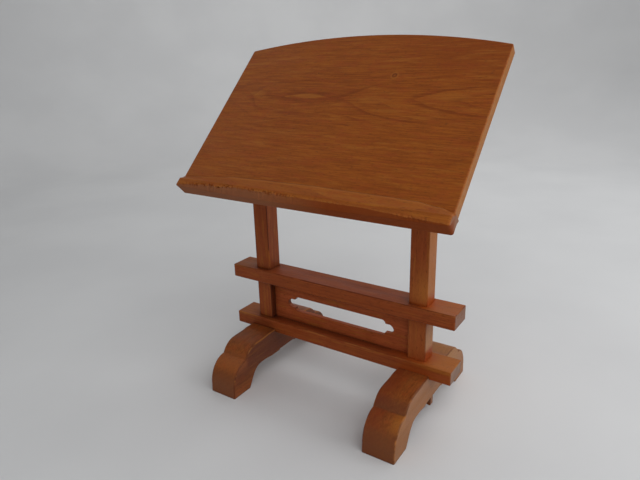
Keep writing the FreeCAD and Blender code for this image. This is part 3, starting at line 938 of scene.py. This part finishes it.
@dataclass
class WornLedge:
    """The book ledge as years of use have left it: its lower front edge rubbed away and chipped."""

    # the ledge as it was made, from its length to how far its slope is bedded in the board
    length: float = 0.372
    drop: float = 0.0175
    lip_stand: float = 0.0062
    lip_bevel: float = 0.0060
    back: float = 0.0140
    heel_radius: float = 0.0020
    bedding: float = 0.0002
    # how its ends are eased, and how its mesh is drawn
    end_easing: float = 0.0030
    end_rings: int = 5
    step: float = 0.0006
    sharp_turn: float = math.radians(22.0)

    # how far up the board the lip's inner slope reaches, at places along the ledge
    slope_reach: tuple[Point2, ...] = (
        (-0.186, 0.0), (-0.154, 0.0035), (-0.131, 0.0056), (-0.100, 0.0089), (-0.052, 0.0098),
        (0.010, 0.0108), (0.061, 0.0100), (0.104, 0.0094), (0.140, 0.0082), (0.168, 0.0046), (0.186, 0.0),
    )
    # the point that the slope bends towards, in shares of its reach, the lip's bevel and the lip's stand
    hollow: Point3 = (0.40, 0.60, 0.50)
    # the share of its reach over which the slope's underside is bedded in the board
    bedded_reach: float = 0.85

    # height of the rubbed band over the lower front edge, at places along the ledge
    rub: tuple[Point2, ...] = (
        (-0.186, 0.0010), (-0.177, 0.0026), (-0.153, 0.0050), (-0.124, 0.0062), (-0.084, 0.0085),
        (-0.045, 0.0079), (-0.004, 0.0069), (0.024, 0.0065), (0.087, 0.0062), (0.117, 0.0043),
        (0.145, 0.0025), (0.176, 0.0017), (0.186, 0.0008),
    )
    least_rub: float = 0.0006
    # how deep the rubbing goes for its height, and where it bends
    rub_depth: float = 0.80
    rub_bend: float = 0.42
    tooth_height: float = 0.0013
    # how many lumps of noise make the teeth in a metre, and the line that the noise is read along
    teeth: tuple[Point3, ...] = ((260.0, 3.1, 7.7), (610.0, 9.2, 1.3))

    # middle, half-length and strength of each stretch that is chipped
    chipped: tuple[Point3, ...] = (
        (-0.125, 0.062, 1.0), (-0.040, 0.060, 0.75), (0.045, 0.050, 0.25), (0.150, 0.030, 0.55),
    )
    chip_depth: float = 0.0013
    # how far a chip reaches from the rubbed band's top, and the share of that over which it thins out
    chip_reach: float = 0.0026
    chip_fade: float = 0.625
    # the height off the board under which nothing is chipped
    chip_floor: float = -0.0040
    # strength of the noise that makes the chips, its lumps in a metre along and up, and its own slice
    lumps: tuple[tuple[float, float, float, float], ...] = (
        (1.0, 420.0, 360.0, 4.4), (0.5, 800.0, 800.0, 8.1),
    )
    # the noise between which a chip comes in
    chip_lumps: Span = (0.02, 0.18)

    # how far along the ledge its varnish is dull, and from where its worn underside is darkened with hand
    # grime and painted shade
    dull_until: Span = (-0.060, 0.045)
    soil: float = 0.85
    dullness: float = 0.75
    # over what height the rubbed band's colour comes in, and how far the fringe reaches over the band
    wear_blur: float = 0.0003
    fringe: float = 0.0016
    # how strongly the fringe is rubbed, and the share of that where nothing is chipped
    fringe_rub: float = 0.65
    unchipped_rub: float = 0.3
    # where the slope runs out thin over the board, and how far it is rubbed there
    feather_start: float = 0.0020
    feather_height: float = 0.0008
    feather_rub: float = 0.25

    @staticmethod
    def between(spots: tuple[Point2, ...], x: float) -> float:
        """Reads a smooth line through spots.

        Args:
            spots: Each spot's place along the ledge, and its height.
            x: The place along the ledge.

        Returns:
            The line's height there, in metres.
        """
        for (start, low), (end, high) in zip(spots, spots[1:]):
            if x <= end:
                share = share_between(x, start, end)
                return low + (high - low) * share * share * (3.0 - 2.0 * share)
        return spots[-1][1]

    def chipping(self, x: float) -> float:
        """How badly the edge is chipped at one place along the ledge, from 0 to 1."""
        return max(
            strength * max(0.0, 1.0 - ((x - middle) / half) ** 2) for middle, half, strength in self.chipped
        )

    def band(self, x: float) -> float:
        """The rubbed band's height at one place, with the ragged teeth that chipping leaves."""
        teeth = sum(noise.noise(Vector((x * pitch, *line))) for pitch, *line in self.teeth)
        return max(self.between(self.rub, x) + self.tooth_height * teeth * self.chipping(x), self.least_rub)

    @staticmethod
    def stroke(start: Vector, corners: Iterable[Point2], count: int) -> list[Vector]:
        """Points along one stroke of the outline, without its start.

        Args:
            start: The stroke's start.
            corners: Its end, after the point that it bends towards where it bends.
            count: How many points.

        Returns:
            The points.
        """
        points = []
        for number in range(1, count + 1):
            line = [start, *map(Vector, corners)]
            while len(line) > 1:
                line = [first.lerp(second, number / count) for first, second in zip(line, line[1:])]
            points += line
        return points

    def section(self, x: float) -> list[Vector]:
        """The ledge's outline at one place along it.

        Args:
            x: The place along the ledge.

        Returns:
            Points as (run up the slope, height off the board).
        """
        reach = self.between(self.slope_reach, x)
        along, off_bevel, up = self.hollow
        band = self.band(x)
        depth = self.rub_depth * band
        low, front, heel = -self.drop, self.lip_stand, self.heel_radius
        # how many points each stroke has, and its corners
        strokes = (
            (8, (along * reach - off_bevel * self.lip_bevel, up * front), (-self.lip_bevel, front)),
            (8, (low + band, front)),
            (12, (low + self.rub_bend * band, front - self.rub_bend * depth), (low, front - depth)),
            (7, (low, heel - self.back)),
            (6, (low, -self.back), (low + heel, -self.back)),
            (4, (0.0, -self.back)),
            (3, (0.0, -self.bedding)),
            (1, (self.bedded_reach * reach, -self.bedding)),
        )
        outline = [Vector((reach, 0.0))]
        for count, *corners in strokes:
            outline += self.stroke(outline[-1], corners, count)
        return outline

    def chip(self, x: float, point: Vector) -> float:
        """How deep a chip is at one point of the surface.

        Args:
            x: The place along the ledge.
            point: The place on the outline.

        Returns:
            The depth, from 0 to the deepest chip's.
        """
        near = 1.0 - abs(point.x + self.drop - self.band(x)) / self.chip_reach
        if near <= 0.0 or point.y < self.chip_floor:
            return 0.0
        lumps = 0.0
        for strength, along, up, own_slice in self.lumps:
            lumps += strength * noise.noise(Vector((x * along, point.x * up, own_slice)))
        shares = share_between(near, 0.0, self.chip_fade) * share_between(lumps, *self.chip_lumps)
        return self.chip_depth * shares * self.chipping(x)

    def marks(self, x: float, point: Vector, depth: float) -> dict[Mark, float]:
        """How marked one point of the surface is.

        Args:
            x: The place along the ledge.
            point: The place on the outline.
            depth: How deep a chip is there.

        Returns:
            The amount of each kind of mark, from 0 to 1.
        """
        below = self.band(x) - self.drop - point.x
        worn_side = share_between(below, 0.0, self.wear_blur)
        dull = 1.0 - share_between(x, *self.dull_until)
        pit = depth / self.chip_depth
        fringe = share_between(below, -self.fringe, 0.0) if below <= 0.0 else 0.0
        fringe *= self.unchipped_rub + (1.0 - self.unchipped_rub) * self.chipping(x)
        is_feather = point.x > self.feather_start and 0.0 <= point.y < self.feather_height
        return {
            Mark.RUBBED: max(self.fringe_rub * fringe * (1.0 - pit), self.feather_rub * is_feather),
            # the worn underside right of the dull stretch, darkened with hand grime and painted shade, and
            # the chips' pits
            Mark.SOILED: max(self.soil * worn_side * (1.0 - dull), pit),
            Mark.DULLED: self.dullness * worn_side * dull * (1.0 - pit),
        }

    def place(self, x: float, point: Vector) -> Vector:
        """Carries a point of the outline to its place on the sloping desk.

        Args:
            x: The place along the ledge.
            point: The place on the outline.

        Returns:
            The place in the frame.
        """
        y = LEDGE_JOINT_Y + point.x * math.cos(DESK_TILT) - point.y * math.sin(DESK_TILT)
        z = LEDGE_JOINT_Z + point.x * math.sin(DESK_TILT) + point.y * math.cos(DESK_TILT)
        return Vector((x, y, z))

    def stations(self) -> list[Point2]:
        """The places along the ledge at which its outline is drawn.

        Returns:
            Each place, with how far the outline is drawn in there to ease the ends.
        """
        inner = self.length / 2.0 - self.end_easing
        ends = []
        for number in range(self.end_rings + 1):
            turn = math.pi / 2.0 * number / self.end_rings
            ends.append((inner + self.end_easing * math.cos(turn), self.end_easing * (1.0 - math.sin(turn))))
        count = int(2.0 * inner / self.step)
        middle = [(-inner + 2.0 * inner * number / count, 0.0) for number in range(1, count)]
        return [(-x, draw) for x, draw in ends] + middle + ends[::-1]

    def build(self) -> bpy.types.Object:
        """Sweeps the outline along the ledge and closes its ends.

        Returns:
            The ledge's object.
        """
        places: list[Vector] = []
        marks: dict[Mark, list[float]] = {mark: [] for mark in Mark}
        stations = self.stations()
        centre = Vector((-self.drop / 2.0, -self.back / 3.0))
        for x, draw in stations:
            for point in self.section(x):
                depth = self.chip(x, point)
                on_joint = point.x > -TOUCHING
                inward = Vector((0.0, 0.0)) if on_joint else (centre - point).normalized()
                places.append(self.place(x, point + inward * (depth + draw)))
                for mark, amount in self.marks(x, point, depth).items():
                    marks[mark].append(amount)
        around = len(places) // len(stations)
        faces = ring_faces(len(stations), around)
        faces.append(tuple(reversed(range(around))))
        faces.append(tuple(range(len(places) - around, len(places))))
        return self.to_object(places, marks, faces)

    def to_object(
        self, places: list[Vector], marks: dict[Mark, list[float]], faces: list[Face]
    ) -> bpy.types.Object:
        """Makes an object of the swept points and faces.

        Args:
            places: The points.
            marks: How marked each point is, for each kind of mark.
            faces: The faces, as numbers of points.

        Returns:
            The new object, in the scene.
        """
        mesh = bpy.data.meshes.new("worn_book_ledge")
        mesh.from_pydata(places, [], faces)
        for mark, amounts in marks.items():
            mesh.attributes.new(mark.value, "FLOAT", "POINT").data.foreach_set("value", amounts)
        mesh.shade_smooth()
        mesh.set_sharp_from_angle(angle=self.sharp_turn)
        mesh.update()
        return put_in_scene("worn_book_ledge", mesh)


@dataclass
class SlopingDesk:
    """The board, its ledge and the battens under it, which lift off the posts together."""

    ledge: WornLedge = field(default_factory=WornLedge)
    # over the log's heart, and inside the tips of its arches
    pale_patches: tuple[PalePatch, ...] = (
        PalePatch(-0.0530, 0.1405, 0.0290, 0.0056, 0.48),
        PalePatch(-0.1350, 0.1430, 0.0170, 0.0070, 0.30),
        PalePatch(0.0430, 0.1365, 0.0240, 0.0085, 0.32),
        PalePatch(0.0680, 0.1215, 0.0300, 0.0040, 0.30),
        PalePatch(0.1350, 0.1440, 0.0340, 0.0080, 0.32),
    )
    knots: tuple[PinKnot, ...] = (PinKnot(0.0571, 0.1751, 0.0032), PinKnot(-0.0534, 0.1787, 0.0013))
    # the board's redder upper right
    board_tones: tuple[ToneShift, ...] = (
        ToneShift(0.45, (0.200, 0.034, 0.0030), across=(0.0, 0.150), heights=(0.385, 0.450)),
    )

    def dress_board(self) -> None:
        """Gives the board its arched cathedral figure."""
        finish = WoodFinish(
            "board_varnish", GrainWay.ACROSS_DESK, 0.31,
            # the board's right edge is end grain, paler and yellower with painted sheen
            light=(0.356, 0.0955, 0.0108), dark=(0.192, 0.040, 0.0055), end_grain_and_painted_light=(0.350, 0.135, 0.0200),
            figure=Figure.CATHEDRAL, ring_pitch=0.0080, ring_strength=0.50, ring_wander=0.0012,
            ring_drift=0.0, ring_ripple=0.0013, late_growth=0.52, poor_years=0.65,
            tones=self.board_tones, knots=self.knots, pale_patches=self.pale_patches,
            fleck_strength=0.42, streak_strength=0.44, streak_size=(0.032, 0.0016, 0.0022),
            edge_stain_and_shade=0.0, specular=0.27,
        )
        dress("desk_board", finish)

    def build_ledge(self) -> None:
        """Puts the worn ledge in the place of the plain one."""
        finish = WoodFinish(
            "ledge_varnish", GrainWay.ACROSS_DESK, 1.93,
            # the ledge's grey end grain is painted sheen
            light=(0.370, 0.106, 0.0140), dark=(0.230, 0.054, 0.0080), end_grain_and_painted_light=(0.190, 0.105, 0.0750),
            ring_lean=1.1, edge_wear_and_highlight=0.0, edge_stain_and_shade=0.0, grime_strength=0.30,
            coat=0.0, roughness_low=0.50, roughness_high=0.64,
        )
        piece = self.ledge.build()
        piece.data.materials.append(finish.make())
        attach(piece, "desk")
        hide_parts("book_ledge")
        LOG.info("built %s with %d faces", piece.name, len(piece.data.polygons))

    def dress_under(self) -> None:
        """Finishes the battens, the dowels and the screws."""
        for side, seed in (("left", 2.7), ("right", 3.7)):
            finish = WoodFinish(f"batten_varnish_{side}", GrainWay.UP_DESK, seed, ring_lean=0.9, coat=0.18)
            dress(f"desk_batten_{side}", finish)
        dowels = WoodFinish(
            "dowel_wood", GrainWay.UP_DESK, 5.1, light=(0.52, 0.33, 0.16), dark=(0.38, 0.22, 0.10),
            edge_wear_and_highlight=0.0, edge_stain_and_shade=0.0, coat=0.0,
        )
        dress("ledge_dowels", dowels)
        dress("batten_screws", SteelFinish("screw_plating"))

    def make(self) -> None:
        """Dresses the whole desk."""
        self.dress_board()
        self.build_ledge()
        self.dress_under()


@dataclass
class PostFrame:
    """The two posts, the two rails, their pegs and the pierced panel."""

    deep: Colour = (0.168, 0.030, 0.0070)
    rich: Colour = (0.340, 0.076, 0.0195)
    bright: Colour = (0.475, 0.104, 0.0330)
    plain: Colour = (0.345, 0.077, 0.0210)
    weathered: Colour = (0.280, 0.110, 0.0300)
    sapwood: Colour = (0.405, 0.130, 0.0250)
    # where the left post's inner side and the right post's outer side begin
    inner_side: Span = (-0.1096, -0.1082)
    outer_side: Span = (0.1306, 0.1319)
    # the heights between which each rail's sapwood comes in, near its top
    upper_top: Span = (0.1490, 0.1529)
    lower_top: Span = (0.0690, 0.0768)

    # painted shade on the inner side, deeper below the upper rail, where the rail and the panel shade it
    left_tones: tuple[ToneShift, ...] = (
        ToneShift(0.25, (0.120, 0.025, 0.0100), across=inner_side),
        ToneShift(0.50, (0.060, 0.016, 0.0090), across=inner_side, heights=(0.140, 0.130)),
    )
    # the sapwood over the upper rail and up the outer side, that side's browner stretch and its red foot,
    # the brighter lower front, and painted sheen on the outer side between the rails, where it faces the
    # window
    right_tones: tuple[ToneShift, ...] = (
        ToneShift(0.80, sapwood, (0.1050, 0.1270), heights=(0.138, 0.150), fade_heights=(0.165, 0.222)),
        ToneShift(0.60, sapwood, outer_side, heights=(0.165, 0.222)),
        ToneShift(0.40, (0.290, 0.112, 0.0220), outer_side, heights=(0.160, 0.168)),
        ToneShift(
            0.60, (0.330, 0.062, 0.0100), outer_side, heights=(0.138, 0.150), fade_heights=(0.158, 0.166)
        ),
        ToneShift(0.22, (0.450, 0.138, 0.0330), depths=(-0.0112, -0.0119), heights=(0.200, 0.160)),
        ToneShift(
            0.85, (0.370, 0.180, 0.0800), outer_side, heights=(0.087, 0.094), fade_heights=(0.124, 0.134)
        ),
    )

    def dress_posts(self) -> None:
        """Finishes both posts, of which the right one is paler and has painted warm light in its corners."""
        left = WoodFinish(
            "post_varnish_left", GrainWay.ALONG_Z, 6.3, light=self.rich, dark=self.deep, ring_lean=0.35,
            # painted shade along the dark arrises and in the recesses
            ring_pitch=0.0062, ring_strength=0.24, tones=self.left_tones, edge_wear_and_highlight=0.15, edge_stain_and_shade=0.85,
            recess_shade_strength=0.50, is_square=True, specular=0.19, coat=0.03,
        )
        right = replace(
            left, name="post_varnish_right", seed=7.6, ring_lean=0.85, tones=self.right_tones,
            glow=ToneShift(0.85, (0.355, 0.056, 0.0080), across=(0.100, 0.120)), edge_stain_and_shade=0.40,
        )
        dress("post_left", left)
        dress("post_right", right)

    def rail_tones(self, strength: float, top: Span) -> tuple[ToneShift, ToneShift]:
        """The sapwood near a rail's right end, and its weathered left end."""
        sapwood = ToneShift(strength, across=(0.090, 0.150), heights=top)
        return sapwood, ToneShift(0.40, self.weathered, across=(-0.120, -0.150), heights=top)

    def dress_rails(self) -> None:
        """Finishes both rails, of which the lower one is more rubbed, with stronger painted highlights."""
        upper = WoodFinish(
            "upper_rail_varnish", GrainWay.ALONG_X, 9.4, light=self.plain, dark=self.deep,
            # the pale grey ends are painted sheen, and the dark arrises carry stain and painted shade
            end_grain_and_painted_light=(0.155, 0.098, 0.0650), arris_stain_and_shade=(0.120, 0.024, 0.0100), ring_lean=1.25,
            tones=self.rail_tones(0.34, self.upper_top), fleck_strength=0.25,
            # painted warm light in the recesses near the right post
            glow=ToneShift(0.72, (0.440, 0.072, 0.0040), across=(0.118, 0.130)),
            edge_wear_and_highlight=0.10, edge_stain_and_shade=0.75, recess_shade_strength=0.45, is_square=True, specular=0.20, coat=0.0,
        )
        lower = replace(
            upper, name="lower_rail_varnish", seed=10.5, end_grain_and_painted_light=(0.185, 0.156, 0.1220), ring_lean=0.55,
            tones=self.rail_tones(0.62, self.lower_top), fleck_strength=0.45,
            # painted warm light in the recesses near the right post
            glow=ToneShift(0.76, (0.425, 0.078, 0.0120), across=(0.068, 0.105)),
            edge_wear_and_highlight=0.60, edge_stain_and_shade=0.25, recess_shade_strength=0.65, specular=0.16,
        )
        dress("upper_rail", upper)
        dress("lower_rail", lower)

    def dress_panel_and_pegs(self) -> None:
        """Finishes the pierced panel and the rails' pegs."""
        panel = WoodFinish(
            "panel_varnish", GrainWay.ALONG_X, 12.7, light=self.bright, dark=self.deep,
            # the walls of its slot, cut across the fibres, are dark with painted shade, and its recesses
            # carry painted shade
            end_grain_and_painted_light=(0.060, 0.018, 0.0110), ring_lean=0.15, recess_shade_strength=0.25, specular=0.18, coat=0.0,
        )
        dress("pierced_panel", panel)
        pegs = WoodFinish(
            "peg_wood", GrainWay.ALONG_Y, 13.9, light=(0.30, 0.12, 0.040), dark=(0.18, 0.06, 0.020)
        )
        dress("rail_pegs", pegs)

    def make(self) -> None:
        """Dresses the whole frame."""
        self.dress_posts()
        self.dress_rails()
        self.dress_panel_and_pegs()


@dataclass
class ArchedFeet:
    """The two arched feet and the wedges that lock them on the posts."""

    warm: Colour = (0.300, 0.083, 0.0170)
    deep: Colour = (0.130, 0.030, 0.0075)
    streaked: Colour = (0.270, 0.095, 0.0220)
    # painted shade on the inner side, and the brighter front toe
    left_tones: tuple[ToneShift, ...] = (
        ToneShift(0.70, (0.085, 0.018, 0.0110), across=(-0.1030, -0.0990), heights=(0.005, 0.035)),
        ToneShift(0.45, (0.360, 0.105, 0.0280), depths=(-0.0800, -0.0880), heights=(0.028, 0.042)),
    )
    # the red inner half, painted shade on the front toe's top at the step, a painted glint on its outer
    # corner, painted sheen on the outer side where it faces the window, and the paler top of the rear half
    right_tones: tuple[ToneShift, ...] = (
        ToneShift(0.65, (0.170, 0.028, 0.0095), across=(0.1300, 0.1060)),
        ToneShift(0.42, (0.085, 0.024, 0.0160), depths=(-0.0700, -0.0820), heights=(0.0460, 0.0472)),
        ToneShift(0.45, (0.430, 0.150, 0.0240), (0.1240, 0.1380), (-0.0850, -0.0870), (0.030, 0.042)),
        ToneShift(0.60, (0.300, 0.135, 0.0450), across=(0.1392, 0.1411)),
        ToneShift(0.50, (0.350, 0.142, 0.0220), depths=(0.0300, 0.0520), heights=(0.030, 0.045)),
    )

    def make(self) -> None:
        """Dresses both feet and both wedges."""
        foot = WoodFinish(
            "foot_varnish_left", GrainWay.ALONG_Y, 15.2, light=self.warm, dark=self.deep,
            golden=self.streaked, end_grain_and_painted_light=(0.165, 0.050, 0.0175), ring_lean=1.0, ring_pitch=0.0054,
            ring_strength=0.22, tones=self.left_tones, mottle_strength=0.26, fleck_strength=0.35,
            # rubbed arrises with painted highlights above the given heights, and dark arrises with painted
            # shade
            edge_wear_and_highlight=0.60, edge_stain_and_shade=0.60, rub_heights=(0.018, 0.026),
        )
        wedge = WoodFinish(
            "wedge_wood_left", GrainWay.ALONG_X, 18.5, light=(0.150, 0.045, 0.0140),
            dark=(0.085, 0.024, 0.0080), coat=0.10,
        )
        dress("foot_left", foot)
        dress("tenon_wedge_left", wedge)
        dress("foot_right", replace(foot, name="foot_varnish_right", seed=16.9, tones=self.right_tones))
        dress("tenon_wedge_right", replace(wedge, name="wedge_wood_right", seed=19.5))


@dataclass(frozen=True)
class Softbox:
    """One square soft light, hung at a place and turned to a point."""

    name: str
    place: Point3
    size: float
    power: float
    tint: Colour
    aim: Point3 = (0.0, 0.0, 0.22)

    def hang(self) -> None:
        """Puts the light in the scene."""
        lamp = bpy.data.lights.new(self.name, "AREA")
        lamp.shape = "SQUARE"
        lamp.size = self.size
        lamp.energy = self.power
        lamp.color = self.tint
        made = put_in_scene(self.name, lamp)
        made.location = self.place
        made.rotation_euler = (Vector(self.aim) - Vector(self.place)).to_track_quat("-Z", "Y").to_euler()


@dataclass
class Studio:
    """The pale floor, the soft lights and the camera."""

    boxes: tuple[Softbox, ...] = (
        Softbox("window", (1.60, 0.35, 0.80), 1.3, 10.4, (0.98, 0.99, 1.0)),
        Softbox("overhead", (1.00, -0.65, 1.60), 1.4, 12.4, (0.98, 0.99, 1.0)),
        Softbox("rear", (0.30, 1.50, 1.50), 1.4, 9.2, (0.98, 0.99, 1.0)),
        Softbox("front_fill", (0.10, -1.70, 0.70), 1.3, 2.6, (1.0, 0.98, 0.96)),
        Softbox("side_wall", (-1.50, -0.10, 1.55), 1.2, 0.9, (1.0, 1.0, 1.0)),
        Softbox("wall_wash", (-0.90, 1.50, 2.20), 1.4, 12.6, (1.0, 1.0, 1.0), (-1.90, 3.40, 0.00)),
    )
    surround_tint: Colour = (0.96, 0.98, 1.0)
    surround: float = 0.24

    floor_radius: float = 1.7
    sweep_radius: float = 3.4
    sweep_height: float = 2.6
    sweep_rings: int = 24
    floor_sides: int = 96
    floor_pale: Colour = (0.70, 0.70, 0.70)
    floor_shade: Colour = (0.66, 0.66, 0.662)
    floor_clouds: Unevenness = Unevenness((0.35, 0.35, 0.35))
    floor_roughness: float = 0.85

    camera_place: Point3 = (0.35912, -0.57815, 0.44630)
    camera_yaw: float = math.radians(33.828)
    camera_pitch: float = math.radians(18.895)
    camera_roll: float = math.radians(-1.525)
    camera_near: float = 0.01
    focal_pixels: float = 548.8
    image_width: float = 640.0
    sensor_width: float = 36.0

    def floor(self) -> None:
        """Makes a round pale floor whose rim sweeps up out of every view."""
        reach = self.sweep_radius - self.floor_radius
        profile = [(self.floor_radius / 2.0, 0.0), (self.floor_radius, 0.0)]
        for number in range(1, self.sweep_rings + 1):
            turn = math.pi / 2.0 * number / self.sweep_rings
            height = self.sweep_height * (1.0 - math.cos(turn))
            profile.append((self.floor_radius + reach * math.sin(turn), height))
        sides = self.floor_sides
        places = [(0.0, 0.0, 0.0)]
        for radius, height in profile:
            for number in range(sides):
                turn = 2.0 * math.pi * number / sides
                places.append((radius * math.cos(turn), radius * math.sin(turn), height))
        faces: list[Face] = [(0, 1 + number, 1 + (number + 1) % sides) for number in range(sides)]
        faces += [face[::-1] for face in ring_faces(len(profile), sides, first=1)]
        mesh = bpy.data.meshes.new("studio_floor")
        mesh.from_pydata(places, [], faces)
        mesh.shade_smooth()
        mesh.materials.append(self.floor_material())
        put_in_scene("studio_floor", mesh)

    def floor_material(self) -> bpy.types.Material:
        """A pale matt covering with the faintest unevenness.

        Returns:
            The finished material.
        """
        sketch = ShaderSketch("pale_floor")
        clouds = self.floor_clouds.amount(sketch, sketch.place())
        colour = sketch.blend(clouds, self.floor_pale, self.floor_shade)
        return sketch.finished({"Base Color": colour, "Roughness": self.floor_roughness})

    def lights(self) -> None:
        """Hangs the soft lights and sets an even pale surround."""
        for box in self.boxes:
            box.hang()
        world = bpy.data.worlds.new("studio_surround")
        world.use_nodes = True
        background = world.node_tree.nodes["Background"]
        background.inputs["Color"].default_value = (*self.surround_tint, 1.0)
        background.inputs["Strength"].default_value = self.surround
        bpy.context.scene.world = world

    def camera(self) -> None:
        """Sets the camera at the viewing angle."""
        cos_yaw, sin_yaw = math.cos(self.camera_yaw), math.sin(self.camera_yaw)
        cos_pitch, sin_pitch = math.cos(self.camera_pitch), math.sin(self.camera_pitch)
        cos_roll, sin_roll = math.cos(self.camera_roll), math.sin(self.camera_roll)
        ahead = Vector((-sin_yaw * cos_pitch, cos_yaw * cos_pitch, -sin_pitch))
        level = Vector((cos_yaw, sin_yaw, 0.0))
        upright = level.cross(ahead)
        right = cos_roll * level + sin_roll * upright
        up = -sin_roll * level + cos_roll * upright
        lens = bpy.data.cameras.new("viewer")
        lens.sensor_width = self.sensor_width
        lens.lens = self.focal_pixels / self.image_width * self.sensor_width
        lens.clip_start = self.camera_near
        made = put_in_scene("viewer", lens)
        turn = Matrix((right, up, -ahead)).transposed().to_4x4()
        made.matrix_world = Matrix.Translation(self.camera_place) @ turn
        bpy.context.scene.camera = made

    def make(self) -> None:
        """Sets up the whole studio."""
        self.floor()
        self.lights()
        self.camera()
        bpy.context.scene.view_settings.view_transform = "Standard"
        LOG.info("set up the studio")


def main() -> None:
    """Dresses every part of the stand and sets up its studio."""
    logging.basicConfig(level=logging.INFO)
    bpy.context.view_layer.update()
    for assembly in (SlopingDesk(), PostFrame(), ArchedFeet(), Studio()):
        assembly.make()


if __name__ == "__main__":
    main()
